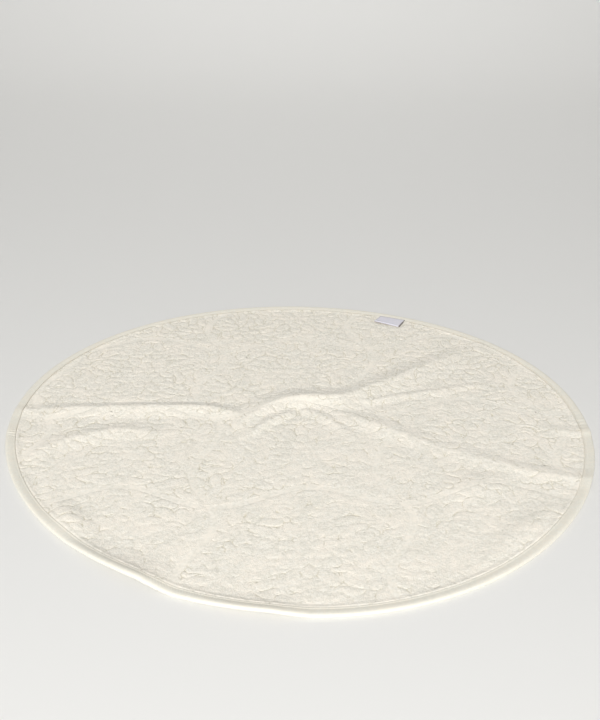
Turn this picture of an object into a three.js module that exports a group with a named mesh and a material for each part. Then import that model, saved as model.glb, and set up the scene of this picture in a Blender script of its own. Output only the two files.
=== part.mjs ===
// A round kitchen towel of figured terry, spread out flat after it was stored folded.
// It is one disc of cloth, one binding folded over the cloth's cut edge, and one small loop
// label caught in the binding's seam. The creases of its storage folds still stand up from the
// surface it lies on, and they meet in a low peak in the middle.
// Millimetres, +Z up. The surface is z = 0, and the origin is the middle of the towel's box there.
// -Y is the side nearest the viewer, and headings turn from +X towards +Y.

import * as THREE from "three";

// The finished outline, over the binding. A round cut of woven cloth stretches on the slant, so
// it is a little oval and a little three-sided. Each wave has so many swellings round the rim.
const RADIUS = 349;
const OUTLINE_WAVES = [
  { swellings: 1, swell: 3.5, toward: -68 },
  { swellings: 2, swell: 8, toward: -31.5 },
  { swellings: 3, swell: 4.5, toward: 33.5 },
  { swellings: 4, swell: 0.8, toward: 8 },
];

// The cloth, with its pile pressed level.
const CLOTH_THICKNESS = 2.6;
const CUT_EDGE_THICKNESS = 1.8; // where the binding's seam squeezes it
const CUT_EDGE_INSET = 2.5; // from the outline, inside the binding

// The binding: a strip folded over the cut edge, with one arm above the cloth and one below.
const BINDING_WIDTH = 11;
const BINDING_THICKNESS = 0.6;
const RIM_HEIGHT = 4.3; // the rolled rim is the thickest place
const CLEARANCE = 0.3; // between one piece and the next

// Storage creases. Each runs from left to right over points of [x, y, rise], and its crest falls
// away over one distance in front and over another behind.
const CREASES = {
  left: {
    front: 27,
    back: 13,
    points: [[-341, 15, 2.5], [-280, 18, 6], [-215, 20, 7.5], [-157, 21, 8], [-112, 19, 7], [-82, 9, 5], [-63, -2, 3]],
  },
  middle: {
    front: 25,
    back: 32,
    points: [[-68, -16, 3], [-52, 6, 7], [-30, 28, 10.5], [-5, 39, 12], [24, 42, 12], [50, 42, 10.5]],
  },
  rightUpper: {
    front: 38,
    back: 18,
    points: [[48, 40, 9], [90, 66, 10], [132, 98, 10.5], [166, 126, 9], [207, 160, 6.5], [262, 200, 2]],
  },
  rightMiddle: {
    front: 13,
    back: 12,
    points: [[66, 36, 3], [100, 41, 4], [136, 53, 3], [190, 68, 2.5], [244, 84, 1.5]],
  },
  rightLower: {
    front: 25,
    back: 13,
    points: [[46, 12, 3], [72, -4, 5.5], [98, -22, 6.5], [133, -48, 6], [167, -70, 5.5], [250, -116, 5], [326, -140, 3.5]],
  },
  smallRight: {
    front: 12,
    back: 12,
    points: [[12, 14, 4], [34, -2, 6], [51, -23, 5], [64, -46, 2]],
  },
  smallLeft: {
    front: 9,
    back: 17,
    points: [[-60, -46, 2], [-47, -29, 6], [-30, -9, 8], [-12, 5, 6]],
  },
  leftLower: {
    front: 27,
    back: 15,
    points: [[-316, -100, 1], [-286, -66, 5], [-251, -46, 6], [-214, -34, 5.5], [-164, -37, 2]],
  },
  nearRim: {
    front: 30,
    back: 26,
    points: [[-230, -248, 1.5], [-192, -278, 5.5], [-154, -302, 7.5], [-141, -308, 5]],
  },
  frontRim: {
    front: 30,
    back: 27,
    points: [[-96, -330, 1.5], [-60, -344, 3.5], [-24, -350, 4.5], [-11, -351, 3]],
  },
  rightRim: {
    front: 12,
    back: 15,
    points: [[288, -26, 1], [322, -34, 2.5], [352, -38, 3]],
  },
};

// Low swellings of the cloth and of its rim: where, how high, how far along a heading and how
// far across it.
const SWELLINGS = [
  { x: -245, y: -196, rise: 6, along: 34, across: 14, heading: 125 },
  { x: 232, y: -230, rise: 4.5, along: 58, across: 16, heading: 44 },
  { x: 196, y: -150, rise: 3, along: 40, across: 22, heading: 20 },
  { x: -348, y: -60, rise: 2.5, along: 30, across: 26, heading: 100 },
];
const SETTLED = 0.35; // a rise lower than this has sunk flat on the surface

// The loop label, folded double and sewn in by both its ends.
const LABEL = { heading: 63, width: 38, length: 28, layer: 0.5, hollow: 0.9 };

const TURN = 2 * Math.PI;
const RADIANS = Math.PI / 180;

function outlineRadius(angle) {
  let radius = RADIUS;
  for (const { swellings, swell, toward } of OUTLINE_WAVES) {
    radius += swell * Math.cos(swellings * (angle - toward * RADIANS));
  }
  return radius;
}

// A crease's crest as a smooth curve, whose third coordinate is the rise.
const CREST_STEPS = 30;
const crests = Object.values(CREASES).map(({ front, back, points }) => {
  const curve = new THREE.CatmullRomCurve3(points.map((point) => new THREE.Vector3(...point)));
  return { front, back, line: curve.getPoints(CREST_STEPS) };
});

function creaseRise(x, y, { front, back, line }) {
  let nearest = { distance: Infinity };
  for (let i = 0; i < line.length - 1; i++) {
    const [start, end] = [line[i], line[i + 1]];
    const [dx, dy] = [end.x - start.x, end.y - start.y];
    const share = ((x - start.x) * dx + (y - start.y) * dy) / (dx * dx + dy * dy);
    const crest = start.clone().lerp(end, THREE.MathUtils.clamp(share, 0, 1));
    const distance = Math.hypot(x - crest.x, y - crest.y);
    const behind = dx * (y - start.y) - dy * (x - start.x) > 0;
    if (distance < nearest.distance) nearest = { distance, behind, rise: crest.z };
  }
  const reach = nearest.behind ? back : front;
  return nearest.rise * (1 - THREE.MathUtils.smoothstep(nearest.distance, 0, reach));
}

function swellingRise(x, y, swelling) {
  const cos = Math.cos(swelling.heading * RADIANS);
  const sin = Math.sin(swelling.heading * RADIANS);
  const along = (x - swelling.x) * cos + (y - swelling.y) * sin;
  const across = (y - swelling.y) * cos - (x - swelling.x) * sin;
  return swelling.rise * Math.exp(-((along / swelling.along) ** 2) - (across / swelling.across) ** 2);
}

// The height of the cloth's underside over the surface. Where ridges meet, the highest rules.
function riseAt(x, y) {
  let sum = 0;
  for (const crest of crests) sum += creaseRise(x, y, crest) ** 3;
  for (const swelling of SWELLINGS) sum += swellingRise(x, y, swelling) ** 3;
  return Math.max(0, Math.cbrt(sum) - SETTLED);
}

// The headings at which the towel is divided, closer together beside each long crease.
function divisions(count) {
  const STEPS = 720;
  const NEARNESS = 3.5; // degrees
  const CLOSER = 3; // times
  const headings = Object.values(CREASES)
    .flatMap(({ points }) => [points[0], points.at(-1)])
    .filter(([x, y]) => Math.hypot(x, y) > RADIUS / 2)
    .map(([x, y]) => Math.atan2(y, x) / RADIANS);
  const weights = Array.from({ length: STEPS }, (_, step) => {
    let weight = 1;
    for (const heading of headings) {
      const off = THREE.MathUtils.euclideanModulo((step / STEPS) * 360 - heading + 180, 360) - 180;
      weight += CLOSER * Math.exp(-((off / NEARNESS) ** 2));
    }
    return weight;
  });
  const share = weights.reduce((sum, weight) => sum + weight) / count;
  const angles = [];
  let passed = 0;
  weights.forEach((weight, step) => {
    while (angles.length < count && angles.length * share < passed + weight) {
      angles.push(((step + (angles.length * share - passed) / weight) / STEPS) * TURN);
    }
    passed += weight;
  });
  return angles;
}

const ANGLES = divisions(112);

// A solid turned from a section, then laid over the creases. A section point is
// [share, inset, height]: a share of the way from the middle to a line that lies the inset
// inside the outline, and a height over the cloth's underside.
function turned(section) {
  const geometry = new THREE.LatheGeometry(
    section.map(([, , height]) => new THREE.Vector2(1, height)),
    ANGLES.length,
  );
  const position = geometry.getAttribute("position");
  for (let i = 0; i < position.count; i++) {
    const [share, inset, height] = section[i % section.length];
    const angle = ANGLES[Math.floor(i / section.length) % ANGLES.length];
    const radius = share * (outlineRadius(angle) - inset);
    const x = radius * Math.cos(angle);
    const y = radius * Math.sin(angle);
    position.setXYZ(i, x, y, height + riseAt(x, y));
  }
  geometry.deleteAttribute("normal");
  geometry.deleteAttribute("uv");
  return geometry;
}

// The cloth's rings are closer together where the creases meet. Its rim is a step thinner and a
// step higher than the rest, inside the binding.
const RINGS = 18;
const RIM_INSET = 18;
const EDGE_INSETS = [BINDING_WIDTH - 3, 5];

function clothGeometry() {
  const edgeBottom = BINDING_THICKNESS + CLEARANCE;
  const edgeTop = edgeBottom + CUT_EDGE_THICKNESS;
  const shares = Array.from({ length: RINGS + 1 }, (_, ring) => (ring / RINGS) ** 1.5);
  const insets = [BINDING_WIDTH + 1.5, ...EDGE_INSETS, CUT_EDGE_INSET];
  const section = [
    ...shares.map((share) => [share, RIM_INSET, 0]),
    ...insets.map((inset) => [1, inset, edgeBottom]),
    ...insets.toReversed().map((inset) => [1, inset, edgeTop]),
    ...shares.toReversed().map((share) => [share, RIM_INSET, CLOTH_THICKNESS]),
  ];
  return turned(section);
}

function bindingGeometry() {
  const innerTop = BINDING_THICKNESS + 2 * CLEARANCE + CUT_EDGE_THICKNESS;
  const innerWall = CUT_EDGE_INSET - CLEARANCE;
  const insetsAndHeights = [
    [BINDING_WIDTH, 0],
    [1.6, 0],
    [0.4, 0.8],
    [0, RIM_HEIGHT / 2],
    [0.4, RIM_HEIGHT - 0.8],
    [1.8, RIM_HEIGHT],
    [4.5, RIM_HEIGHT],
    [8, innerTop + BINDING_THICKNESS + 0.2],
    [BINDING_WIDTH, innerTop + BINDING_THICKNESS],
    [BINDING_WIDTH, innerTop],
    ...EDGE_INSETS.map((inset) => [inset, innerTop]),
    [innerWall, innerTop],
    [innerWall, BINDING_THICKNESS],
    ...EDGE_INSETS.toReversed().map((inset) => [inset, BINDING_THICKNESS]),
    [BINDING_WIDTH, BINDING_THICKNESS],
    [BINDING_WIDTH, 0],
  ];
  return turned(insetsAndHeights.map(([inset, height]) => [1, inset, height]));
}

// A flattened loop of ribbon: seen from its side it is a long outline round a long hollow. It
// starts against the binding and lies inwards over the cloth, which it follows.
function labelGeometry() {
  const { heading, width, length, layer, hollow } = LABEL;
  const thickness = 2 * layer + hollow;
  const noseX = length - thickness / 2;
  const openFrom = 0.35 * length;
  const sewn = 4;
  const side = new THREE.Shape();
  side.moveTo(0, 0);
  side.lineTo(noseX, 0);
  side.absarc(noseX, thickness / 2, thickness / 2, -Math.PI / 2, Math.PI / 2);
  side.lineTo(openFrom, thickness);
  side.lineTo(0, 2 * layer + 0.1);
  const inside = new THREE.Path();
  inside.moveTo(sewn, layer);
  inside.lineTo(openFrom, thickness - layer);
  inside.lineTo(noseX, thickness - layer);
  inside.absarc(noseX, thickness / 2, hollow / 2, Math.PI / 2, -Math.PI / 2, true);
  inside.lineTo(sewn, layer);
  side.holes.push(inside);
  const geometry = new THREE.ExtrudeGeometry(side, {
    depth: width,
    steps: 8,
    curveSegments: 6,
    bevelEnabled: false,
  });
  const angle = heading * RADIANS;
  const onCloth = CLOTH_THICKNESS + CLEARANCE;
  const position = geometry.getAttribute("position");
  for (let i = 0; i < position.count; i++) {
    const across = position.getZ(i) - width / 2;
    const aside = across / RADIUS;
    const rim = outlineRadius(angle + aside) * Math.cos(aside);
    const out = rim - BINDING_WIDTH - 2 * CLEARANCE - position.getX(i);
    const x = out * Math.cos(angle) - across * Math.sin(angle);
    const y = out * Math.sin(angle) + across * Math.cos(angle);
    position.setXYZ(i, x, y, onCloth + position.getY(i) + riseAt(x, y));
  }
  geometry.deleteAttribute("normal");
  geometry.deleteAttribute("uv");
  return geometry;
}

function piece(name, geometry, color, roughness) {
  geometry.computeVertexNormals();
  const material = new THREE.MeshStandardMaterial({ color, roughness, metalness: 0 });
  const mesh = new THREE.Mesh(geometry, material);
  mesh.name = name;
  return mesh;
}

const towel = new THREE.Group();
towel.add(piece("cloth", clothGeometry(), 0xece5d6, 0.95));
towel.add(piece("binding", bindingGeometry(), 0xeee9da, 0.6));
towel.add(piece("label", labelGeometry(), 0xe4dfe2, 0.55));

// The origin is the middle of the towel's box, on the surface it lies on.
const box = new THREE.Box3().setFromObject(towel);
const middle = box.getCenter(new THREE.Vector3());
towel.position.set(-middle.x, -middle.y, -box.min.z);

export default towel;
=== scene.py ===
# %% [markdown]
# # A round kitchen towel of figured terry
# The towel is one disc of cotton cloth with raised loops, a smooth strip bound over its cut edge,
# a row of stitches that holds the strip, and a small folded label. Creases, as from lying folded
# in a cupboard, stand up from the floor and meet in a low peak in the middle.
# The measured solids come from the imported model. This script dresses them with what a solid model
# leaves out: the pile and its figure, threads, stitches and the finish of each cloth.

import math
import random

import bmesh
import bpy
import numpy as np
from mathutils import Matrix, Vector


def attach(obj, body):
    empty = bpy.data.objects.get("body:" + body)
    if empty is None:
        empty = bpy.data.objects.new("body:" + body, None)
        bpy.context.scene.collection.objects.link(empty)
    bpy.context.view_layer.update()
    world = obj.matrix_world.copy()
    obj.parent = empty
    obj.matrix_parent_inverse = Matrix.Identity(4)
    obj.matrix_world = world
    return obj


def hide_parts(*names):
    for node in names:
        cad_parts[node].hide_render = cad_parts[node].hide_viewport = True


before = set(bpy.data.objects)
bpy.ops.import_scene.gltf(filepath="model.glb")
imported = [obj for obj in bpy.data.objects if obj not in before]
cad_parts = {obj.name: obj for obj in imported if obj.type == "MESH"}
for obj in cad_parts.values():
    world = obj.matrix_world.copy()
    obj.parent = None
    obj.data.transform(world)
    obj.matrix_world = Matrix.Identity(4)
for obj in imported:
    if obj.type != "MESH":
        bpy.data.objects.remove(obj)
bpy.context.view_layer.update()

# %% [markdown]
# ## The outline and the folds
# Every piece of this towel follows the same two shapes, the rim's outline and the folds, so both
# are functions that the later cells call. The outline is a circle with a few soft waves, which may
# come from the way that a round cut of woven cloth stretches on the slant. Each fold is a line
# with a height along it, and the cloth falls away from it in a smooth curve. The lines are those
# of the solid model, in metres, but the relief isn't quite its own. The crests are about a sixth
# to three fifths lower, most of them fall away over a longer distance, and two swellings are a
# quarter lower, one of them 22 mm away from its place there. At the solid model's heights the
# folds rendered harder than the real ones look. NumPy works on all the points of a mesh at once,
# which keeps this quick.

# %% The outline and the folds
RADIUS = 0.349
OUTLINE_WAVES = [  # swellings round the rim, how far they stand out, heading of one in degrees
    (1, 0.0035, -68),
    (2, 0.008, -31.5),
    (3, 0.0045, 33.5),
    (4, 0.0008, 8),
]
BINDING_WIDTH = 0.011
CREASES = {  # reach in front of the crest, reach behind it, crest points (x, y, rise)
    "left": (0.027, 0.018, [(-0.341, 0.015, 0.0020), (-0.280, 0.018, 0.0042),
             (-0.215, 0.020, 0.0053), (-0.157, 0.021, 0.0056), (-0.112, 0.019, 0.0050),
             (-0.082, 0.009, 0.0036), (-0.063, -0.002, 0.0022)]),
    "middle": (0.027, 0.036, [(-0.068, -0.016, 0.0022), (-0.052, 0.006, 0.0050),
               (-0.030, 0.028, 0.0075), (-0.005, 0.039, 0.0086), (0.024, 0.042, 0.0086),
               (0.050, 0.042, 0.0075)]),
    "right_upper": (0.038, 0.030, [(0.048, 0.040, 0.0064), (0.090, 0.066, 0.0066),
                    (0.132, 0.098, 0.0068), (0.166, 0.126, 0.0056), (0.207, 0.160, 0.0038),
                    (0.262, 0.200, 0.0012)]),
    "right_middle": (0.013, 0.012, [(0.066, 0.036, 0.0025), (0.100, 0.041, 0.0032),
                     (0.136, 0.053, 0.0025), (0.190, 0.068, 0.0020), (0.244, 0.084, 0.0012)]),
    "right_lower": (0.025, 0.026, [(0.046, 0.012, 0.0014), (0.072, -0.004, 0.0028),
                    (0.098, -0.022, 0.0038), (0.133, -0.048, 0.0030), (0.167, -0.070, 0.0019),
                    (0.250, -0.116, 0.0032), (0.326, -0.140, 0.0026)]),
    "small_right": (0.012, 0.012, [(0.012, 0.014, 0.0024), (0.034, -0.002, 0.0024),
                    (0.051, -0.023, 0.0016), (0.064, -0.046, 0.001)]),
    "small_left": (0.011, 0.019, [(-0.060, -0.046, 0.0014), (-0.047, -0.029, 0.0034),
                   (-0.030, -0.009, 0.0042), (-0.012, 0.005, 0.0032)]),
    "left_lower": (0.027, 0.026, [(-0.316, -0.100, 0.0008), (-0.286, -0.066, 0.0034),
                   (-0.251, -0.046, 0.0041), (-0.214, -0.034, 0.0038), (-0.164, -0.037, 0.0014)]),
    "near_rim": (0.030, 0.036, [(-0.230, -0.248, 0.0012), (-0.192, -0.278, 0.0044),
                 (-0.154, -0.302, 0.0062), (-0.141, -0.308, 0.0045)]),
    "front_rim": (0.030, 0.030, [(-0.096, -0.330, 0.0012), (-0.060, -0.344, 0.0030),
                  (-0.024, -0.350, 0.0038), (-0.011, -0.351, 0.0026)]),
    "right_rim": (0.014, 0.018, [(0.288, -0.026, 0.0008), (0.322, -0.034, 0.0018),
                  (0.352, -0.038, 0.0022)]),
}
SWELLINGS = [  # x, y, rise, length along the heading, width across it, heading in degrees
    (-0.232, -0.214, 0.0045, 0.034, 0.015, 125),
    (0.232, -0.230, 0.0034, 0.058, 0.018, 44),
    (0.196, -0.150, 0.003, 0.040, 0.022, 20),
    (-0.348, -0.060, 0.0025, 0.030, 0.026, 100),
]
SETTLED = 0.00035  # a rise lower than this has sunk flat on the floor
CREST_ROUND = 0.003  # about the radius of a fold's crest


def smoothstep(share):
    share = np.clip(share, 0, 1)
    return share * share * (3 - 2 * share)


def outline_radius(heading):
    radius = np.full_like(heading, RADIUS)
    for swellings, swell, toward in OUTLINE_WAVES:
        radius = radius + swell * np.cos(swellings * (heading - math.radians(toward)))
    return radius


def crest_line(points, steps=8):
    """A smooth line through the points, as an array of (x, y, rise)."""
    points = np.array(points)
    ends = [2 * points[0] - points[1]], [2 * points[-1] - points[-2]]
    p = np.concatenate([ends[0], points, ends[1]])
    t = np.linspace(0, 1, steps, endpoint=False)[:, None]
    spans = []
    for a, b, c, d in zip(p[:-3], p[1:-2], p[2:-1], p[3:]):
        curve = 2 * b + (c - a) * t + (2 * a - 5 * b + 4 * c - d) * t**2
        spans.append(0.5 * (curve + (3 * b - a - 3 * c + d) * t**3))
    return np.concatenate([*spans, points[-1:]])


def crease_rise(x, y, crest, front, back):
    """The rise of one crease over points that may be anywhere."""
    rise = np.zeros_like(x)
    reach = max(front, back)
    low, high = crest.min(axis=0) - reach, crest.max(axis=0) + reach
    near = np.flatnonzero((x > low[0]) & (x < high[0]) & (y > low[1]) & (y < high[1]))
    px, py = x[near], y[near]
    distance, height = np.full(len(near), np.inf), np.zeros(len(near))
    falls_over = np.ones(len(near))
    for start, end in zip(crest[:-1], crest[1:]):
        step = end - start
        span = math.hypot(step[0], step[1])
        ax, ay = px - start[0], py - start[1]
        share = np.clip((ax * step[0] + ay * step[1]) / span**2, 0, 1)
        apart = np.hypot(ax - share * step[0], ay - share * step[1]) + 1e-9
        side = np.clip((step[0] * ay - step[1] * ax) / span / apart, -1, 1)
        closer = apart < distance
        distance = np.where(closer, apart, distance)
        height = np.where(closer, start[2] + share * step[2], height)
        falls_over = np.where(closer, front + (back - front) * (side + 1) / 2, falls_over)
    distance = np.hypot(distance, CREST_ROUND) - CREST_ROUND
    rise[near] = height * (1 - np.clip(distance / falls_over, 0, 1)) ** 1.5
    return rise


def swelling_rise(x, y, middle_x, middle_y, rise, along, across, heading):
    cos, sin = math.cos(math.radians(heading)), math.sin(math.radians(heading))
    lengthways = (x - middle_x) * cos + (y - middle_y) * sin
    sideways = (y - middle_y) * cos - (x - middle_x) * sin
    return rise * np.exp(-((lengthways / along) ** 2) - (sideways / across) ** 2)


CRESTS = [(crest_line(points), front, back) for front, back, points in CREASES.values()]


def rise_at(x, y):
    """The height of the cloth's underside over the floor."""
    cubes = sum(crease_rise(x, y, *crease) ** 3 for crease in CRESTS)
    cubes = cubes + sum(swelling_rise(x, y, *swelling) ** 3 for swelling in SWELLINGS)
    return np.maximum(0, np.cbrt(cubes) - SETTLED)


around = np.linspace(0, 2 * math.pi, 1440, endpoint=False)
rim_x = outline_radius(around) * np.cos(around)
rim_y = outline_radius(around) * np.sin(around)
MIDDLE_X = (rim_x.max() + rim_x.min()) / 2
MIDDLE_Y = (rim_y.max() + rim_y.min()) / 2
print("The middle of the outline lies at", round(MIDDLE_X, 5), round(MIDDLE_Y, 5))


# %% [markdown]
# ## Reading and placing the points of a mesh
# The pieces are shaped by operators as flat grids and rings, and then every point is moved onto
# the folds. Blender hands all the coordinates over as one array with foreach_get and takes them
# back with foreach_set, far faster than a loop over the vertices.

# %% Reading and placing the points of a mesh
def points_of(mesh):
    points = np.empty(len(mesh.vertices) * 3)
    mesh.vertices.foreach_get("co", points)
    return points.reshape(-1, 3)


def place_points(mesh, x, y, z):
    """Puts the points where the folds' own frame says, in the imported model's frame."""
    points = np.stack([x - MIDDLE_X, y - MIDDLE_Y, z], axis=1)
    mesh.vertices.foreach_set("co", points.ravel())
    mesh.update()


def finished_piece(name, mesh):
    mesh.shade_smooth()
    piece = bpy.data.objects.new(name, mesh)
    bpy.context.scene.collection.objects.link(piece)
    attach(piece, "root")
    return piece


def mesh_from(bm, name):
    mesh = bpy.data.meshes.new(name)
    bm.to_mesh(mesh)
    bm.free()
    return mesh


# %% [markdown]
# ## The ground cloth
# Under the pile lies a plain woven cloth, about a millimetre and a half thick. It is the towel's
# underside. It could be a lathed disc, but the rings of one crowd together in the middle, right
# where the folds meet. A square grid pressed into a disc has even faces all over. It is extruded
# to give the cloth an underside, and lifts a little at the rim, where the binding runs underneath
# it.

# %% The ground cloth
GROUND_THICKNESS = 0.0016
CUT_EDGE_INSET = 0.0025  # from the outline, inside the binding
EDGE_LIFT = 0.0009  # the binding's lower arm and its slack
GROUND_SQUARES = 210


def disc_from_square(u, v):
    """Where a point of the square from -1 to 1 comes to lie in a disc, as share and heading."""
    wide = np.abs(u) > np.abs(v)
    longer, shorter = np.where(wide, u, v), np.where(wide, v, u)
    turn = math.pi / 4 * shorter / np.where(longer == 0, 1, longer)
    heading = np.where(wide, turn, math.pi / 2 - turn)
    return np.abs(longer), heading + np.where(longer < 0, math.pi, 0)


def edge_lift(inset):
    return EDGE_LIFT * (1 - smoothstep((inset - 0.0125) / 0.0055))


bm = bmesh.new()
bmesh.ops.create_grid(bm, x_segments=GROUND_SQUARES, y_segments=GROUND_SQUARES, size=1)
grown = bmesh.ops.extrude_face_region(bm, geom=bm.faces[:], use_keep_orig=True)
upper = [part for part in grown["geom"] if isinstance(part, bmesh.types.BMVert)]
bmesh.ops.translate(bm, verts=upper, vec=(0, 0, 1))
bmesh.ops.recalc_face_normals(bm, faces=bm.faces)
ground = mesh_from(bm, "ground_cloth")

square = points_of(ground)
share, heading = disc_from_square(square[:, 0], square[:, 1])
rim = outline_radius(heading)
reach = share * (rim - CUT_EDGE_INSET)
x, y = reach * np.cos(heading), reach * np.sin(heading)
floor_gap = rise_at(x, y) + edge_lift(rim - reach)
place_points(ground, x, y, floor_gap + square[:, 2] * GROUND_THICKNESS)
ground_cloth = finished_piece("ground_cloth", ground)
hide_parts("cloth")
print("The ground cloth has", len(ground.polygons), "faces")

# %% [markdown]
# ## The figure of the pile
# The raised figure repeats across the cloth like any damask: a rosette with leaves and scrolls
# round it, and smooth channels between one repeat and the next. It is drafted here as a distance
# field, one number for each half millimetre of one repeat: how far that place is outside the
# nearest raised shape, or inside it where the number is negative. Each petal, leaf or scroll is a
# stroke with a width that changes along it. A new stroke trims those under it and leaves a narrow
# gap, and that is what makes one row of petals seem to tuck under the next.

# %% The draft: one repeat and how a stroke is laid on it
REPEAT_WIDTH, REPEAT_HEIGHT = 0.206, 0.188
DRAFT_STEP = 0.0005
COLUMNS, ROWS = round(REPEAT_WIDTH / DRAFT_STEP), round(REPEAT_HEIGHT / DRAFT_STEP)
STROKE_GAP = 0.0018

draft = np.full((ROWS, COLUMNS), 0.009)
strokes_laid = 0


def stroke_distance(points, widths):
    """The squares of the draft near a stroke, and their distance from its edge."""
    spine, widths = np.array(points), np.array(widths, float)
    margin = widths.max() + 0.009
    first = np.floor((spine.real.min() - margin + REPEAT_WIDTH / 2) / DRAFT_STEP)
    columns = first + np.arange(min(COLUMNS, int((np.ptp(spine.real) + 2 * margin) / DRAFT_STEP)))
    first = np.floor((spine.imag.min() - margin + REPEAT_HEIGHT / 2) / DRAFT_STEP)
    rows = first + np.arange(min(ROWS, int((np.ptp(spine.imag) + 2 * margin) / DRAFT_STEP)))
    across = (columns + 0.5) * DRAFT_STEP - REPEAT_WIDTH / 2
    up = (rows + 0.5) * DRAFT_STEP - REPEAT_HEIGHT / 2
    place = across[None, :] + 1j * up[:, None]
    distance = np.abs(place - spine[0]) - widths[0]
    for start, end, narrow, wide in zip(spine[:-1], spine[1:], widths[:-1], widths[1:]):
        step = end - start
        share = ((place - start) * step.conjugate()).real / (abs(step) ** 2 + 1e-12)
        share = np.clip(share, 0, 1)
        apart = np.abs(place - start - share * step) - (narrow + (wide - narrow) * share)
        distance = np.minimum(distance, apart)
    return np.ix_(rows.astype(int) % ROWS, columns.astype(int) % COLUMNS), distance


def lay_stroke(points, widths, mirrored=True):
    """Lays a stroke, and its mirror image where it stands beside the middle line."""
    global strokes_laid
    sides = [list(points)]
    if mirrored and abs(np.mean(points).real) > 0.0008:
        sides.append([complex(-point.real, point.imag) for point in points])
    for side in sides:
        squares, distance = stroke_distance(side, widths)
        trimmed = np.maximum(draft[squares], STROKE_GAP - distance)
        draft[squares] = np.minimum(distance, trimmed)
        strokes_laid += 1


def polar(length, degrees):
    return length * complex(math.cos(math.radians(degrees)), math.sin(math.radians(degrees)))


# %% [markdown]
# ## Petals, leaves and scrolls
# Three kinds of stroke make the whole figure. A lobe is a petal or one finger of a leaf: blunt,
# widest past its middle, and bent a little. A scroll is a curl that thickens inwards. A leaf is
# a row of lobes down both sides of a stem, laid from the tip back, so that each overlaps the last.

# %% The draft: lobes, scrolls and leaves
def lay_lobe(foot, heading, start, end, width, bend=0):
    shares = np.linspace(0, 1, 8)
    points = [foot + polar(start + (end - start) * t, heading + bend * t * t) for t in shares]
    widths = [width * (0.42 + 0.58 * math.sin(math.pi * (0.08 + 0.70 * t))) for t in shares]
    lay_stroke(points, widths)


def lay_scroll(middle, heading, size, turn, width):
    shares = np.linspace(0, 1, 20)
    points = [middle + polar(size * (1 - 0.72 * t), heading + turn * t) for t in shares]
    widths = [width * (0.40 + 0.60 * min(1, t * 1.8)) for t in shares]
    widths[-1] *= 1.2
    lay_stroke(points, widths)


def lay_ring(middle, inner, outer, count, first, step, width, bend):
    for number in range(count):
        lay_lobe(middle, first + step * number, inner, outer, width, bend)


def lay_leaf(foot, heading, length, bend, pairs, size, width):
    for number in range(pairs, -1, -1):
        t = number / pairs
        joint = foot + polar(length * t, heading + bend * t / 2)
        for side in (-1, 1):
            lobe_heading = heading + bend * t + side * (64 - 30 * t)
            lobe_size = size * math.sin(math.pi * (0.30 + 0.5 * t))
            lay_lobe(joint, lobe_heading, 0, lobe_size, width, -side * 30)


SCROLLS = [  # middle, heading of its tail, size, the way it curls
    (complex(0.064, 0.034), 20, 0.0165, 1),
    (complex(0.060, -0.040), -60, 0.0160, -1),
    (complex(0.030, 0.070), 150, 0.0130, -1),
]
for middle, tail, size, hand in SCROLLS:
    lay_ring(middle, size, size + 0.019, 6, tail - hand * 40, hand * 38, 0.0072, hand * 20)
    lay_scroll(middle, tail, size, hand * 390, 0.0043)
lay_leaf(complex(0.024, 0.018), 40, 0.030, -40, 2, 0.024, 0.0064)
lay_leaf(complex(0.024, -0.024), -50, 0.028, 50, 2, 0.022, 0.0062)
for turn in (60, 120, 90):
    lay_lobe(0.012j, turn, 0.018, 0.040, 0.0074)
for turn in (-55, -90):
    lay_lobe(-0.010j, turn, 0.018, 0.040, 0.0074)
for turn in (-90, -30, 30, 90):
    lay_lobe(0, turn, 0.012, 0.029, 0.0086)
for turn in (-60, 0, 60):
    lay_lobe(0, turn, 0.006, 0.0185, 0.0066)
lay_stroke([0j], [0.0062], mirrored=False)
SMALL_ROSETTE = complex(-0.076, -0.054)
lay_ring(SMALL_ROSETTE, 0.006, 0.017, 5, 18, 72, 0.0072, 0)
lay_stroke([SMALL_ROSETTE], [0.0052])
print("Strokes drawn by hand:", strokes_laid)

# %% [markdown]
# ## Channels, and strokes that fill what is left
# Flat channels wind between the repeats. What is still empty after the drawn strokes is filled by
# short bent ones: the emptiest place is found again and again, and a stroke that fits is laid
# there along its longest free direction. The random numbers have a fixed seed, so the figure is
# the same each time the script runs.

# %% The draft: channels and filling strokes
CHANNEL_HALF_WIDTH = 0.0048
FILL_DOWN_TO = 0.0036  # the smallest free radius that still takes a stroke

shares = np.linspace(-0.5, 0.5, 60)
CHANNELS = [
    [complex(0.092 + 0.016 * math.sin(math.tau * t), t * REPEAT_HEIGHT) for t in shares],
    [complex(t * REPEAT_WIDTH, -0.093 + 0.018 * math.cos(math.tau * t)) for t in shares],
]
channel = np.full_like(draft, 0.1)
for line in CHANNELS:
    squares, distance = stroke_distance(line, [CHANNEL_HALF_WIDTH] * len(line))
    channel[squares] = np.minimum(channel[squares], distance)
np.maximum(draft, -channel, out=draft)


def free_radius(place):
    column = int((place.real + REPEAT_WIDTH / 2) / DRAFT_STEP) % COLUMNS
    row = int((place.imag + REPEAT_HEIGHT / 2) / DRAFT_STEP) % ROWS
    return min(draft[row, column], channel[row, column], 0.006)


def longest_free_direction(place):
    probes = (-0.015, -0.010, -0.005, 0.005, 0.010, 0.015)
    freedom = {
        turn: sum(free_radius(place + polar(probe, turn)) for probe in probes)
        for turn in range(0, 180, 15)
    }
    return max(freedom.items(), key=lambda item: item[1])


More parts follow.
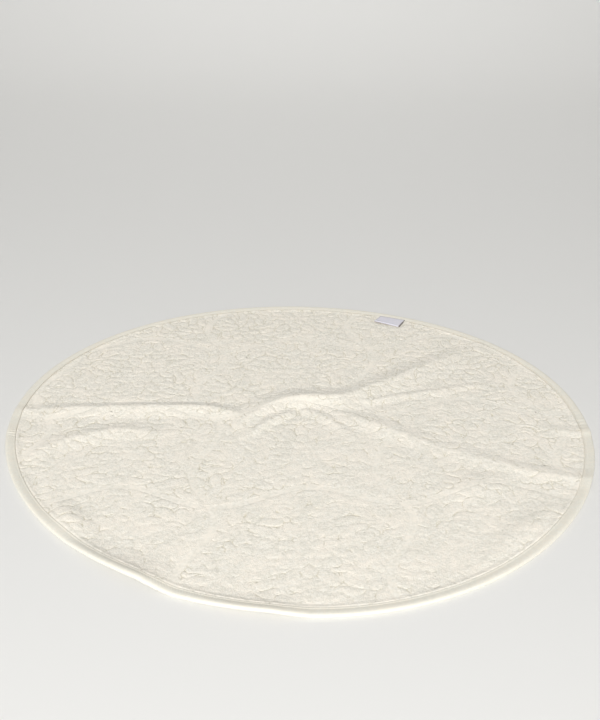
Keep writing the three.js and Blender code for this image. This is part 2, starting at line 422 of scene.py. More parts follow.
chance = random.Random(5)
while True:
    room = np.minimum(draft, channel)
    room[:, : COLUMNS // 2 - 2] = -1  # the mirror image fills the other half
    row, column = divmod(int(room.argmax()), COLUMNS)
    free = float(room[row, column])
    if free < FILL_DOWN_TO:
        break
    place = complex((column + 0.5) * DRAFT_STEP - REPEAT_WIDTH / 2,
                    (row + 0.5) * DRAFT_STEP - REPEAT_HEIGHT / 2)
    turn, freedom = longest_free_direction(place)
    turn += 180 * chance.randrange(2)
    bend = chance.choice((-1, 1)) * chance.uniform(0.012, 0.022)
    half = min(0.013, max(0.001, freedom * 0.42))
    width = min(0.0060, free - STROKE_GAP * 0.6)
    ts = np.linspace(-1, 1, 8)
    points = [
        place + polar(half * t, turn) + polar(half**2 * (t * t - 0.4) / (2 * bend), turn + 90)
        for t in ts
    ]
    widths = [width * (0.45 + 0.55 * math.sin(math.pi * (0.5 + 0.3 * t))) for t in ts]
    lay_stroke(points, widths)
    np.maximum(draft, -channel, out=draft)
print("Strokes in all:", strokes_laid, "and the raised share is", round((draft < 0).mean(), 3))

# %% [markdown]
# ## Reading the draft on the towel
# A woven figure is never as crisp as its draft. The draft is read a little slanted and bent, and
# some of the cracks between two petals are closed, as where loops lean over them. Which ones are
# is settled by a table of random numbers that is read smoothly, at a coarse or a fine size. It
# has a fixed seed, so the towel comes out the same every time. More cracks are open towards the
# far side. That isn't known of the real cloth: it was set to bring the contrast of the picture
# nearer to the photograph's, as seen from the camera below.

# %% Reading the draft on the towel
DRAFT_ORIGIN = complex(0.004, -0.074)
DRAFT_WARP = 0.0035
random_table = np.random.default_rng(3).uniform(-1, 1, (256, 256))


def read_table(table, column, row):
    """A table's value between its squares, where the table repeats in both directions."""
    left, low = np.floor(column).astype(int), np.floor(row).astype(int)
    s, t = column - left, row - low
    rows, columns = table.shape
    corners = [table[(low + dr) % rows, (left + dc) % columns] for dr in (0, 1) for dc in (0, 1)]
    lower = corners[0] * (1 - s) + corners[1] * s
    return lower * (1 - t) + (corners[2] * (1 - s) + corners[3] * s) * t


def read_draft(table, x, y):
    u = x - DRAFT_ORIGIN.real + DRAFT_WARP * np.sin(y * 17 + 0.6) + 0.04 * y
    v = y - DRAFT_ORIGIN.imag + DRAFT_WARP * np.sin(x * 15 + 1.9) - 0.02 * x
    return read_table(table, (u + REPEAT_WIDTH / 2) / DRAFT_STEP - 0.5,
                      (v + REPEAT_HEIGHT / 2) / DRAFT_STEP - 0.5)


def wander(x, y, size, shift):
    """A random value from -1 to 1 that changes smoothly over the given size."""
    return read_table(random_table, x / size + 7.3 * shift, y / size + 3.1 * shift)


def to_crack(x, y):
    """How far places lie from the middle of a crack between two petals: zero along it."""
    return read_draft(draft, x, y) - STROKE_GAP / 2


def to_channel(x, y):
    """How far places lie outside the smooth channels, and negative inside them."""
    return read_draft(channel, x, y)


def crack_depth(x, y):
    """From 0, where the loops have closed a crack, to 1."""
    openness = 0.95 * wander(x, y, 0.0065, 2) + 0.45 * wander(x, y, 0.035, 3)
    return smoothstep(0.54 + 1.2 * y + openness)


# %% [markdown]
# ## The pile
# The cloth is covered with small standing loops, except in the channels, which are woven smooth.
# Real loops number in the hundreds of thousands, so here one fine sheet of faces stands for their
# tops. A crack is thinner than the faces are wide, so every point that lies near one is first moved
# onto its middle line, and the faces then fold down exactly along it. Each point is lifted by its
# place in the figure, moved a little at random, and laid over the folds. Petals are plump in the
# middle. Their plumpness and the loops' unevenness grow towards the far side, to 1.8 and 2.9 times
# as much. That too was set for the contrast from one camera and isn't known of the real cloth: with
# STANDS_BY at 0 they are the same all over. The sheet is cut into five bands to keep each piece a
# handy size. The bands read the same random numbers along a shared cut, so no seam shows. Their
# rims dip into the ground cloth, beside the binding. The map named OFBake lays a band out flat, for
# the day when its materials are baked into pictures.

# %% The pile: one band of flat faces
PILE_STEP = 0.0009
HALF_GRID = 386  # squares from the middle to the edge of the whole grid
BAND_ROWS = [-HALF_GRID, -196, -63, 63, 196, HALF_GRID]


def flat_band(name, first_row, last_row):
    """A fine flat grid over a band of the towel, without the faces beyond the binding."""
    bm = bmesh.new()
    rows = last_row - first_row
    bmesh.ops.create_grid(bm, x_segments=2 * HALF_GRID, y_segments=rows, size=1)
    bmesh.ops.scale(bm, vec=(HALF_GRID * PILE_STEP, rows / 2 * PILE_STEP, 1), verts=bm.verts)
    middle = (first_row + rows / 2) * PILE_STEP
    bmesh.ops.translate(bm, vec=(0, middle, 0), verts=bm.verts)
    whole = bpy.data.meshes.new(name)
    bm.to_mesh(whole)
    middles = np.empty(len(whole.polygons) * 3)
    whole.polygons.foreach_get("center", middles)
    x, y, _ = middles.reshape(-1, 3).T
    bpy.data.meshes.remove(whole)
    beyond = np.hypot(x, y) > outline_radius(np.arctan2(y, x)) - BINDING_WIDTH + 0.002
    doomed = [face for face, out in zip(bm.faces, beyond) if out]
    bmesh.ops.delete(bm, geom=doomed, context="FACES")
    return mesh_from(bm, name)


def move_onto(line, x, y):
    """Moves the points that lie near a line's zero straight onto it, in place."""
    near = np.flatnonzero(np.abs(line(x, y)) < 0.49 * PILE_STEP)
    probe = 0.0003
    for _ in range(2):
        px, py = x[near], y[near]
        off = line(px, py)
        slope_x = line(px + probe, py) - line(px - probe, py)
        slope_y = line(px, py + probe) - line(px, py - probe)
        slope = np.hypot(slope_x, slope_y) + 1e-6
        x[near] -= 0.9 * off * slope_x / slope
        y[near] -= 0.9 * off * slope_y / slope


# %% The pile: lifting a band into its figure
PILE_FLOOR = 0.0001  # the smooth channels, over the ground cloth
PILE_RISE = 0.00085
CRACK_HALF_WIDTH = 0.0008
CHANNEL_STEP = 0.0005  # the width of the slope down into a channel
PILE_SUNK = 0.0003
PLUMP_OVER = 0.0034  # how far from its edge a petal is still rounded
PLUMPNESS = 0.30  # how much higher than its edge a petal's middle is, as a share of the rise
LOOP_UNEVENNESS = 0.0001
STANDS_FROM, STANDS_OVER, STANDS_BY = -0.18, 0.45, 1.9  # start, distance and share of the growth
GRID_POINTS = 2 * HALF_GRID + 1
loops = np.random.default_rng(7).normal(0, LOOP_UNEVENNESS, (3, GRID_POINTS, GRID_POINTS))


def make_pile(name, first_row, last_row):
    """One band of the pile, from one row of the whole grid to another."""
    mesh = flat_band(name, first_row, last_row)
    flat = points_of(mesh)
    column, row = (np.rint(flat[:, :2] / PILE_STEP).astype(int) + HALF_GRID).T
    unevenness = loops[:, row, column]
    x, y = flat[:, 0] + unevenness[0], flat[:, 1] + unevenness[1]
    move_onto(to_crack, x, y)
    move_onto(to_channel, x, y)
    crack = (1 - smoothstep(np.abs(to_crack(x, y)) / CRACK_HALF_WIDTH)) * crack_depth(x, y)
    raised = smoothstep(1 + to_channel(x, y) / CHANNEL_STEP)
    channel_depth = 0.44 + 0.25 * wander(x, y, 0.03, 6)
    full = 1 + 0.10 * wander(x, y, 0.006, 4) + 0.10 * wander(x, y, 0.026, 5)
    standing = 1 + STANDS_BY * smoothstep((y - STANDS_FROM) / STANDS_OVER)
    plump = smoothstep(-read_draft(draft, x, y) / PLUMP_OVER) * (0.6 + 0.4 * standing)
    full += PLUMPNESS * (plump - 0.6)
    top = PILE_RISE * full * (1 - crack) * (1 - channel_depth * (1 - raised))
    top += PILE_FLOOR + unevenness[2] * standing * (0.3 + 0.7 * raised)
    inset = outline_radius(np.arctan2(y, x)) - np.hypot(x, y)
    inside = smoothstep((inset - BINDING_WIDTH + 0.0002) / 0.0016)
    top = -PILE_SUNK + (PILE_SUNK + top) * inside
    place_points(mesh, x, y, rise_at(x, y) + edge_lift(inset) + GROUND_THICKNESS + top)
    for mask, values in (("crack", crack * raised), ("smooth", 1 - raised)):
        mesh.attributes.new(mask, "FLOAT", "POINT").data.foreach_set("value", values)
    corners = np.empty(len(mesh.loops), int)
    mesh.loops.foreach_get("vertex_index", corners)
    spread = np.stack([x, y], axis=1) / (2 * HALF_GRID * PILE_STEP) + 0.5
    mesh.uv_layers.new(name="OFBake").data.foreach_set("uv", spread[corners].ravel())
    return finished_piece(name, mesh)


# %% The pile: all five bands
pile = [make_pile(f"pile_{number + 1}", *BAND_ROWS[number : number + 2])
        for number in range(len(BAND_ROWS) - 1)]
for piece in pile:
    print(piece.name, "has", 2 * len(piece.data.polygons), "triangles")

# %% [markdown]
# ## The binding
# A strip of smooth cotton is folded over the cut edge and stitched down. Its folded rim is a soft
# roll, and inside it the strip sinks towards the stitches. Its section is drawn once, as a ring
# of points, and spun round the towel's middle. The ring is then moved out to the outline and up
# onto the folds, like the cloth. A second cell gives each face its measure along the strip and
# across it, as a UV map, so that the ribs of the cloth can follow the strip round the rim.

# %% The binding
SECTION = [  # inset from the outline, height over the floor gap, round the folded strip
    (0.0110, 0.0000), (0.0060, 0.0000), (0.0030, 0.0000), (0.0016, 0.0001), (0.0007, 0.0006),
    (0.0002, 0.0013), (0.0000, 0.00215), (0.0002, 0.0030), (0.0007, 0.0037), (0.0015, 0.0042),
    (0.0026, 0.0044), (0.0040, 0.0044), (0.0054, 0.0042), (0.0068, 0.0039), (0.0080, 0.0037),
    (0.0089, 0.00345), (0.0096, 0.0034), (0.0104, 0.0036), (0.0109, 0.0036), (0.0110, 0.0033),
    (0.0108, 0.0030), (0.0060, 0.0030), (0.0024, 0.0030), (0.0022, 0.0018), (0.0024, 0.0006),
    (0.0110, 0.0006),
]
BINDING_STEPS = 1440
JOIN_HEADING = math.radians(187)
PUCKERS_HEADING = math.radians(-3)

bm = bmesh.new()
ring = bmesh.ops.create_circle(bm, segments=len(SECTION), radius=1)["verts"]
for vert, (inset, height) in zip(ring, SECTION):
    vert.co = Vector((RADIUS - inset, 0, height))
bmesh.ops.spin(bm, geom=bm.verts[:] + bm.edges[:], cent=(0, 0, 0), axis=(0, 0, 1), dvec=(0, 0, 0),
               angle=math.tau, steps=BINDING_STEPS, use_merge=True, use_duplicate=False)
bmesh.ops.recalc_face_normals(bm, faces=bm.faces)
strip = mesh_from(bm, "binding_strip")

spun = points_of(strip)
heading = np.arctan2(spun[:, 1], spun[:, 0])
inset, height = RADIUS - np.hypot(spun[:, 0], spun[:, 1]), spun[:, 2]


def turned_by(heading, middle):
    """The angle from a heading to another, between minus and plus half a turn."""
    return (heading - middle + math.pi) % math.tau - math.pi


def pucker_height(heading):
    """Small wrinkles across the strip: faint all round, clear at its join and at the right."""
    arc = heading * RADIUS
    faint = 0.00005 * np.sin(arc * 900) * np.sin(arc * 130 + 1)
    join = np.exp(-((turned_by(heading, JOIN_HEADING) * RADIUS / 0.010) ** 2))
    right = np.exp(-((turned_by(heading, PUCKERS_HEADING) * RADIUS / 0.030) ** 2))
    return faint + 0.0009 * join * np.sin(arc * 1100) + 0.00022 * right * np.sin(arc * 760 + 2)


on_top = smoothstep((height - 0.0031) / 0.0006) * smoothstep((inset + 0.001) / 0.003)
height = height + pucker_height(heading) * on_top
reach = outline_radius(heading) - inset
x, y = reach * np.cos(heading), reach * np.sin(heading)
place_points(strip, x, y, rise_at(x, y) + height)
binding = finished_piece("binding_strip", strip)
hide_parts("binding")
print("The binding has", len(strip.polygons), "faces")

# %% The binding: its own measure along and across the strip
section = np.array(SECTION)
steps = np.hypot(*np.diff(section, axis=0).T)
running = np.concatenate([[0], np.cumsum(steps)])
spun_inset, spun_height = RADIUS - np.hypot(spun[:, 0], spun[:, 1]), spun[:, 2]
nearest = np.argmin(np.hypot(spun_inset[:, None] - section[:, 0],
                             spun_height[:, None] - section[:, 1]), axis=1)
corners = np.empty(len(strip.loops), int)
strip.loops.foreach_get("vertex_index", corners)
along = heading[corners].reshape(-1, 4)
along = along + math.tau * (along < along.max(axis=1, keepdims=True) - math.pi)
measure = np.stack([along.ravel() * RADIUS, running[nearest[corners]]], axis=1)
strip.uv_layers.new(name="strip").data.foreach_set("uv", measure.ravel())
print("The strip is", round(running[-1] * 1000, 1), "mm wide")

# %% [markdown]
# ## The stitches
# A sewing machine holds the binding with a stitch every three millimetres. There are several
# hundred of them, so each is only a small capsule of a few dozen faces, made once by an operator.
# Copies of its points are turned and moved along the seam in one array and joined in one mesh.

# %% The stitches
STITCH_LENGTH, STITCH_THICKNESS, STITCH_PITCH = 0.0023, 0.00042, 0.0030
SEAM_INSET, SEAM_HEIGHT = 0.0095, 0.00345

seam_radius = RADIUS - SEAM_INSET
count = round(math.tau * seam_radius / STITCH_PITCH)
bm = bmesh.new()
bmesh.ops.create_uvsphere(bm, u_segments=6, v_segments=6, radius=0.5)
bmesh.ops.rotate(bm, verts=bm.verts, matrix=Matrix.Rotation(math.pi / 2, 3, "X"))
bmesh.ops.scale(bm, verts=bm.verts, vec=(STITCH_THICKNESS, STITCH_LENGTH, STITCH_THICKNESS))
bmesh.ops.translate(bm, verts=bm.verts, vec=(seam_radius, 0, 0))
bmesh.ops.spin(bm, geom=bm.faces[:], cent=(0, 0, 0), axis=(0, 0, 1), dvec=(0, 0, 0),
               angle=math.tau * (count - 1) / count, steps=count - 1, use_duplicate=True)
threads = mesh_from(bm, "stitches")

sewn = points_of(threads)
heading = np.arctan2(sewn[:, 1], sewn[:, 0])
reach = outline_radius(heading) - RADIUS + np.hypot(sewn[:, 0], sewn[:, 1])
x, y = reach * np.cos(heading), reach * np.sin(heading)
place_points(threads, x, y, rise_at(x, y) + SEAM_HEIGHT + sewn[:, 2] + pucker_height(heading))
stitches = finished_piece("stitches", threads)
print("Stitches:", count, "with", len(threads.polygons), "faces in all")

# %% [markdown]
# ## The label
# A short woven ribbon is folded double and caught in the seam by both its ends. Nothing is woven
# into it here. It is a flat grid bent round its fold and then given its thickness. The two layers
# part a little towards the fold, as a sewn loop does, and the left corner stands up most. The
# ribbon is made dark along its right edge. The layer under the fold is made dark too, as painted
# shade for the shadow in the gap under the lifted fold. The layer under the fold is made dark
# too, which is a guess: the dark line there may be only a shadow. A number on each point, called
# an attribute, tells the material where.

# %% The label: a bent ribbon
LABEL_HEADING = math.radians(63.85)
LABEL_WIDTH, LABEL_LENGTH = 0.039, 0.0245
LABEL_LAYER = 0.0004
LABEL_BASE = 0.0030
LABEL_GAP = 0.0004  # from the binding's inner edge
FOLD = 0.0006
LIFT, CORNER_LIFT = 0.0011, 0.0009
ALONG_SQUARES, ACROSS_SQUARES = 44, 24

bm = bmesh.new()
bmesh.ops.create_grid(bm, x_segments=ALONG_SQUARES, y_segments=ACROSS_SQUARES, size=1)
ribbon = mesh_from(bm, "label_ribbon")
flat = points_of(ribbon)


def label_lift(out, across):
    """The label lifts towards its fold, most at its left corner."""
    return (out / LABEL_LENGTH) ** 2 * (LIFT + CORNER_LIFT * across / (LABEL_WIDTH / 2))


half_turn = FOLD * math.pi / 2
path = (1 - np.abs(flat[:, 0])) * (LABEL_LENGTH - FOLD + half_turn)  # from the fold to the seam
angle = np.minimum(path, half_turn) / FOLD
out = LABEL_LENGTH - FOLD + FOLD * np.cos(angle) - np.maximum(path - half_turn, 0)
parted = FOLD * np.sin(angle) * (0.45 + 0.55 * smoothstep(out / 0.012))
across = flat[:, 1] * LABEL_WIDTH / 2
ripple = 0.0002 * np.sin(out * 220 + across * 60) * (out / LABEL_LENGTH)
up = LABEL_BASE + FOLD + np.sign(flat[:, 0]) * parted + ripple + label_lift(out, across)
aside = across / RADIUS
rim = outline_radius(LABEL_HEADING + aside) * np.cos(aside)
reach = rim - BINDING_WIDTH - LABEL_GAP - out
x = reach * math.cos(LABEL_HEADING) - across * math.sin(LABEL_HEADING)
y = reach * math.sin(LABEL_HEADING) + across * math.cos(LABEL_HEADING)
place_points(ribbon, x, y, rise_at(x, y) + up)

# %% The label: its thickness, its dark edge and its painted shade
bm = bmesh.new()
bm.from_mesh(ribbon)
bmesh.ops.solidify(bm, geom=bm.faces[:], thickness=LABEL_LAYER)
bmesh.ops.recalc_face_normals(bm, faces=bm.faces)
bm.to_mesh(ribbon)
bm.free()

x, y, z = (points_of(ribbon) + [MIDDLE_X, MIDDLE_Y, 0]).T
along = x * math.cos(LABEL_HEADING) + y * math.sin(LABEL_HEADING)
across = y * math.cos(LABEL_HEADING) - x * math.sin(LABEL_HEADING)
out = rim.mean() - BINDING_WIDTH - LABEL_GAP - along
middle = rise_at(x, y) + LABEL_BASE + FOLD + label_lift(out, across)
# Painted shade: the layer under the fold is made dark for the shadow in the gap under the lifted
# fold.
under_fold = (z < middle - LABEL_LAYER / 2) * smoothstep((out / LABEL_LENGTH - 0.85) / 0.1)
under_fold = under_fold * smoothstep(across / LABEL_WIDTH + 0.6)
# The ribbon is made dark along its right edge.
right_edge = smoothstep((-across / (LABEL_WIDTH / 2) - 0.93) / 0.05)
ribbon.attributes.new("dark_edge_and_fold_shade", "FLOAT", "POINT").data.foreach_set(
    "value", np.maximum(right_edge, 0.75 * under_fold))
label = finished_piece("label_ribbon", ribbon)
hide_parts("label")
print("The label has", len(ribbon.polygons), "faces")

# %% [markdown]
# ## Shared effects: loops, weave and the tone of cotton
# Three effects are used by more than one material, so each is a node group with named inputs.
# Loops are rounded cells about a millimetre across. A plain weave is two sets of crossing waves.
# The tone of undyed cotton wanders a little over the cloth, warmer here and greyer there.

# %% Building a node group
def new_group(name, inputs, outputs):
    """An empty shader group with its input and output nodes."""
    group = bpy.data.node_groups.new(name, "ShaderNodeTree")
    for title, kind, value in inputs:
        socket = group.interface.new_socket(title, in_out="INPUT", socket_type=kind)
        if value is not None:
            socket.default_value = value
    for title, kind in outputs:
        group.interface.new_socket(title, in_out="OUTPUT", socket_type=kind)
    return group, group.nodes.new("NodeGroupInput"), group.nodes.new("NodeGroupOutput")


def math_node(tree, operation, first, second=None):
    node = tree.nodes.new("ShaderNodeMath")
    node.operation = operation
    for socket, value in zip(node.inputs, (first, second)):
        if isinstance(value, bpy.types.NodeSocket):
            tree.links.new(value, socket)
        elif value is not None:
            socket.default_value = value
    return node.outputs[0]


def noise_node(tree, vector, scale, detail=2.0):
    node = tree.nodes.new("ShaderNodeTexNoise")
    node.inputs["Scale"].default_value = scale
    node.inputs["Detail"].default_value = detail
    tree.links.new(vector, node.inputs["Vector"])
    return node.outputs["Fac"]


VECTOR, FLOAT, COLOUR = "NodeSocketVector", "NodeSocketFloat", "NodeSocketColor"

# %% Terry loops
loops_group, inputs, outputs = new_group(
    "terry loops", [("Place", VECTOR, None), ("Loops per metre", FLOAT, 900.0)],
    [("Height", FLOAT)])
cells = loops_group.nodes.new("ShaderNodeTexVoronoi")
cells.feature = "SMOOTH_F1"
cells.inputs["Smoothness"].default_value = 0.4
loops_group.links.new(inputs.outputs["Place"], cells.inputs["Vector"])
loops_group.links.new(inputs.outputs["Loops per metre"], cells.inputs["Scale"])
fuzz = noise_node(loops_group, inputs.outputs["Place"], 2600)
height_out = math_node(loops_group, "SUBTRACT", math_node(loops_group, "MULTIPLY", fuzz, 0.5),
                       cells.outputs["Distance"])
loops_group.links.new(height_out, outputs.inputs["Height"])

# %% Plain weave
weave_group, inputs, outputs = new_group(
    "plain weave", [("Place", VECTOR, None), ("Threads per metre", FLOAT, 1200.0)],
    [("Height", FLOAT)])
apart = weave_group.nodes.new("ShaderNodeSeparateXYZ")
weave_group.links.new(inputs.outputs["Place"], apart.inputs[0])
turns = math_node(weave_group, "MULTIPLY", inputs.outputs["Threads per metre"], math.pi)
waves = []
for side in ("X", "Y"):
    phase = math_node(weave_group, "MULTIPLY", apart.outputs[side], turns)
    waves.append(math_node(weave_group, "SINE", phase))
crossing = math_node(weave_group, "MULTIPLY", *waves)
weave_group.links.new(crossing, outputs.inputs["Height"])

# %% The tone of cotton
tone_group, inputs, outputs = new_group(
    "cotton tone",
    [("Place", VECTOR, None), ("Light", COLOUR, None), ("Dark", COLOUR, None),
     ("Warm", COLOUR, None), ("Grains per metre", FLOAT, 340.0)],
    [("Colour", COLOUR)])


def noise_of(scale, detail, low, high):
    """A noise stretched so that low to high becomes 0 to 1."""
    noise = tone_group.nodes.new("ShaderNodeTexNoise")
    noise.inputs["Detail"].default_value = detail
    tone_group.links.new(inputs.outputs["Place"], noise.inputs["Vector"])
    if isinstance(scale, bpy.types.NodeSocket):
        tone_group.links.new(scale, noise.inputs["Scale"])
    else:
        noise.inputs["Scale"].default_value = scale
    spread = tone_group.nodes.new("ShaderNodeMapRange")
    spread.inputs["From Min"].default_value = low
    spread.inputs["From Max"].default_value = high
    tone_group.links.new(noise.outputs["Fac"], spread.inputs["Value"])
    return spread.outputs["Result"]


def mixed(factor, first, second):
    mix = tone_group.nodes.new("ShaderNodeMix")
    mix.data_type = "RGBA"
    tone_group.links.new(factor, mix.inputs["Factor"])
    tone_group.links.new(first, mix.inputs["A"])
    tone_group.links.new(second, mix.inputs["B"])
    return mix.outputs["Result"]


def blend(*noises):
    """The sum of some noises, each with its own share."""
    total = None
    for noise, share in noises:
        part = math_node(tone_group, "MULTIPLY", noise, share)
        total = part if total is None else math_node(tone_group, "ADD", total, part)
    return total


grain = noise_of(inputs.outputs["Grains per metre"], 2.5, 0.32, 0.68)
tufts = noise_of(170.0, 1.5, 0.34, 0.66)
patches = noise_of(38.0, 3.0, 0.3, 0.7)
lightness = blend((grain, 0.55), (tufts, 0.27), (patches, 0.18))
base = mixed(lightness, inputs.outputs["Dark"], inputs.outputs["Light"])
blush = blend((noise_of(31.0, 2.0, 0.42, 0.66), 0.5), (noise_of(260.0, 1.0, 0.45, 0.62), 0.5))
tone_group.links.new(mixed(blush, base, inputs.outputs["Warm"]), outputs.inputs["Colour"])

# %% [markdown]
# ## Materials
# All the cloth is taken to be undyed cotton, so the materials share a tone and differ in surface:
# rough loops on the pile, a flat weave in its channels and on the ground, and slanted ribs on the
# binding, which follow the strip's own measure. A little sheen gives the pale haze that loose
# fibres make at a low angle. The cracks between petals are also given a darker and warmer colour,
# which stands for the little light that gets down between the loops.

# %% A cotton material
WARMER = (0, 0.028, 0.05)  # what a blush takes from the light tone


def cotton(name, light, dark, roughness, sheen):
    material = bpy.data.materials.new(name)
    material.use_nodes = True
    tree = material.node_tree
    shader = tree.nodes["Principled BSDF"]
    shader.inputs["Roughness"].default_value = roughness
    shader.inputs["Sheen Weight"].default_value = sheen
    shader.inputs["Sheen Roughness"].default_value = 0.5
    shader.inputs["Specular IOR Level"].default_value = 0.25
    place = tree.nodes.new("ShaderNodeTexCoord").outputs["Object"]
    tone = tree.nodes.new("ShaderNodeGroup")
    tone.node_tree = tone_group
    tone.inputs["Light"].default_value = (*light, 1)
    tone.inputs["Dark"].default_value = (*dark, 1)
    tone.inputs["Warm"].default_value = (*(np.array(light) - WARMER), 1)
    tree.links.new(place, tone.inputs["Place"])
    tree.links.new(tone.outputs["Colour"], shader.inputs["Base Color"])
    return material, tree, shader, place, tone.outputs["Colour"]


def add_bump(tree, shader, height, strength, distance):
    bump = tree.nodes.new("ShaderNodeBump")
    bump.inputs["Strength"].default_value = strength
    bump.inputs["Distance"].default_value = distance
    tree.links.new(height, bump.inputs["Height"])
    tree.links.new(bump.outputs["Normal"], shader.inputs["Normal"])


def placed_group(tree, group, place, scale):
    node = tree.nodes.new("ShaderNodeGroup")
    node.node_tree = group
    tree.links.new(place, node.inputs["Place"])
    node.inputs[1].default_value = scale
    return node.outputs["Height"]


# %% The pile and the ground cloth
# Painted shade: the cracks between petals get a darker, warmer colour for the little light that
# gets down between the loops.
CRACK_SHADE_COLOUR = (0.70, 0.65, 0.51, 1)
WEAVE_SHARE = 0.08  # how high the weave of the channels is against the loops

pile_material, tree, shader, place, tone = cotton(
    "cotton loops", (0.965, 0.929, 0.842), (0.75, 0.718, 0.620), 0.95, 0.2)
# The crack attribute mixes the painted shade colour into the tone.
crack = tree.nodes.new("ShaderNodeAttribute")
crack.attribute_name = "crack"
shade = tree.nodes.new("ShaderNodeMix")
shade.data_type = "RGBA"
tree.links.new(math_node(tree, "POWER", crack.outputs["Fac"], 1.5), shade.inputs["Factor"])
tree.links.new(tone, shade.inputs["A"])
shade.inputs["B"].default_value = CRACK_SHADE_COLOUR
tree.links.new(shade.outputs["Result"], shader.inputs["Base Color"])
smooth = tree.nodes.new("ShaderNodeAttribute")
smooth.attribute_name = "smooth"
surface = tree.nodes.new("ShaderNodeMix")
tree.links.new(smooth.outputs["Fac"], surface.inputs["Factor"])
tree.links.new(placed_group(tree, loops_group, place, 900), surface.inputs["A"])
weave = placed_group(tree, weave_group, place, 1100)
tree.links.new(math_node(tree, "MULTIPLY", weave, WEAVE_SHARE), surface.inputs["B"])
add_bump(tree, shader, surface.outputs["Result"], 0.7, 0.0005)
for piece in pile:
    piece.data.materials.append(pile_material)

ground_material, tree, shader, place, _ = cotton(
    "cotton ground", (0.86, 0.825, 0.74), (0.80, 0.765, 0.67), 0.9, 0.15)
add_bump(tree, shader, placed_group(tree, weave_group, place, 1100), 0.35, 0.00025)
ground.materials.append(ground_material)

# %% The binding and its thread
RIB_PITCH, RIB_SLANT = 0.0017, 0.6

binding_material, tree, shader, place, _ = cotton(
    "binding cotton", (0.865, 0.84, 0.75), (0.79, 0.765, 0.67), 0.7, 0.15)
strip_place = tree.nodes.new("ShaderNodeUVMap")
strip_place.uv_map = "strip"
apart = tree.nodes.new("ShaderNodeSeparateXYZ")
tree.links.new(strip_place.outputs["UV"], apart.inputs[0])
slant = math_node(tree, "MULTIPLY", apart.outputs["Y"], RIB_SLANT)
slant = math_node(tree, "ADD", apart.outputs["X"], slant)
ribs = math_node(tree, "SINE", math_node(tree, "MULTIPLY", slant, math.tau / RIB_PITCH))
fine_weave = placed_group(tree, weave_group, strip_place.outputs["UV"], 1900)
add_bump(tree, shader, math_node(tree, "ADD", ribs, math_node(tree, "MULTIPLY", fine_weave, 0.4)),
         0.6, 0.00011)
strip.materials.append(binding_material)

thread_material, tree, shader, place, _ = cotton(
    "sewing thread", (0.80, 0.77, 0.68), (0.74, 0.70, 0.60), 0.6, 0.1)
add_bump(tree, shader, noise_node(tree, place, 5200), 0.3, 0.0001)
threads.materials.append(thread_material)

# %% The label's ribbon
# A dark colour for the ribbon's right edge, and painted shade under the fold.
DARK_EDGE_AND_SHADE_COLOUR = (0.11, 0.08, 0.045, 1)

label_material, tree, shader, place, ribbon_tone = cotton(
    "label ribbon", (0.80, 0.79, 0.86), (0.73, 0.72, 0.80), 0.5, 0.05)
dark_edge_and_fold_shade = tree.nodes.new("ShaderNodeAttribute")
dark_edge_and_fold_shade.attribute_name = "dark_edge_and_fold_shade"
dark = tree.nodes.new("ShaderNodeMix")
dark.data_type = "RGBA"
tree.links.new(dark_edge_and_fold_shade.outputs["Fac"], dark.inputs["Factor"])
tree.links.new(ribbon_tone, dark.inputs["A"])
dark.inputs["B"].default_value = DARK_EDGE_AND_SHADE_COLOUR
tree.links.new(dark.outputs["Result"], shader.inputs["Base Color"])
add_bump(tree, shader, placed_group(tree, weave_group, place, 2600), 0.25, 0.0001)
ribbon.materials.append(label_material)
print("Materials:", len(bpy.data.materials))

# %% [markdown]

# %% [markdown]
# ## Floor, light and camera
# The towel lies on a seamless pale floor that curves up far behind it. The light is soft: a broad
# lamp high in front, a weaker one over the backdrop and a pale surround. The camera stands a metre
# in front of the towel's middle and looks down at it.

# %% The floor
FLOOR_HALF_WIDTH, FLOOR_FRONT = 6.0, -3.0

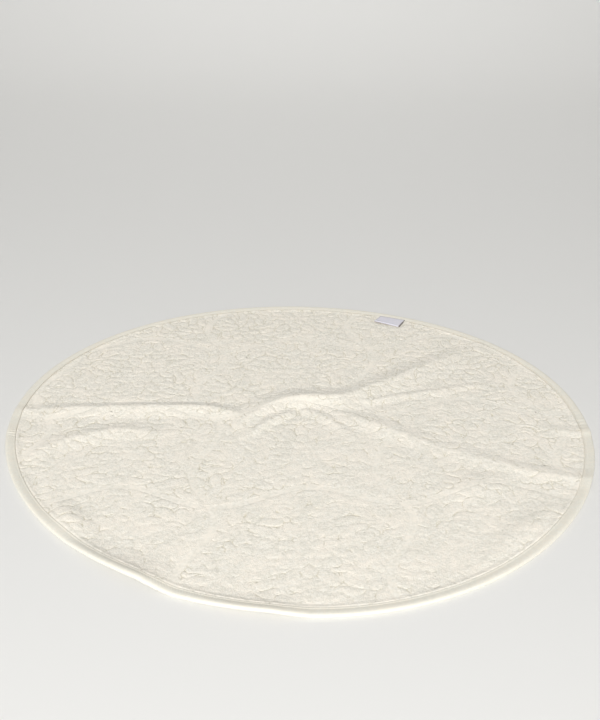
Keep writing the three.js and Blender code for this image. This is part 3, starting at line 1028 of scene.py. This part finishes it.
bm = bmesh.new()
bmesh.ops.create_grid(bm, x_segments=1, y_segments=40, size=1)
backdrop = mesh_from(bm, "floor")
flat = points_of(backdrop)
run = (flat[:, 1] + 1) * 4.5
curve_start, curve_radius = 5.0, 1.6
turn = np.clip((run - curve_start) / curve_radius, 0, math.pi / 2)
wall = np.maximum(run - curve_start - curve_radius * math.pi / 2, 0)
y = FLOOR_FRONT + np.minimum(run, curve_start) + curve_radius * np.sin(turn)
z = curve_radius * (1 - np.cos(turn)) + wall
backdrop.vertices.foreach_set(
    "co", np.stack([flat[:, 0] * FLOOR_HALF_WIDTH, y, z - 0.0002], axis=1).ravel())
backdrop.update()
backdrop.shade_smooth()
floor = bpy.data.objects.new("floor", backdrop)
bpy.context.scene.collection.objects.link(floor)
floor_material = bpy.data.materials.new("pale floor")
floor_material.use_nodes = True
floor_shader = floor_material.node_tree.nodes["Principled BSDF"]
floor_shader.inputs["Base Color"].default_value = (0.825, 0.82, 0.80, 1)
floor_shader.inputs["Roughness"].default_value = 0.7
backdrop.materials.append(floor_material)


# %% The light
def soft_lamp(name, place, aim, size, power, colour=(1, 1, 1)):
    lamp = bpy.data.lights.new(name, "AREA")
    lamp.shape = "DISK"
    lamp.size = size
    lamp.energy = power
    lamp.color = colour
    holder = bpy.data.objects.new(name, lamp)
    holder.location = place
    holder.rotation_euler = (Vector(aim) - Vector(place)).to_track_quat("-Z", "Y").to_euler()
    bpy.context.scene.collection.objects.link(holder)


soft_lamp("key", (-0.3, -3.2, 1.9), (0, 0, 0), 1.6, 142)
soft_lamp("backdrop", (0, 2.2, 3.2), (0, 4.2, 0.8), 2.0, 29)
world = bpy.data.worlds.new("studio")
world.use_nodes = True
world.node_tree.nodes["Background"].inputs["Color"].default_value = (0.95, 0.945, 0.93, 1)
world.node_tree.nodes["Background"].inputs["Strength"].default_value = 0.32
bpy.context.scene.world = world
bpy.context.scene.view_settings.view_transform = "Standard"

# %% The camera
CAMERA_PLACE = (0.0035, -0.993, 0.5835)  # in the folds' own frame
CAMERA_DIPS = math.radians(26.83)
CAMERA_LENS = 46.46  # millimetres, for a sensor of 36 along the picture's long side

lens = bpy.data.cameras.new("camera")
lens.lens = CAMERA_LENS
lens.sensor_width = 36
camera = bpy.data.objects.new("camera", lens)
camera.location = (CAMERA_PLACE[0] - MIDDLE_X, CAMERA_PLACE[1] - MIDDLE_Y, CAMERA_PLACE[2])
camera.rotation_euler = (math.pi / 2 - CAMERA_DIPS, 0, 0)
bpy.context.scene.collection.objects.link(camera)
bpy.context.scene.camera = camera

# %% Finish
bpy.context.view_layer.update()
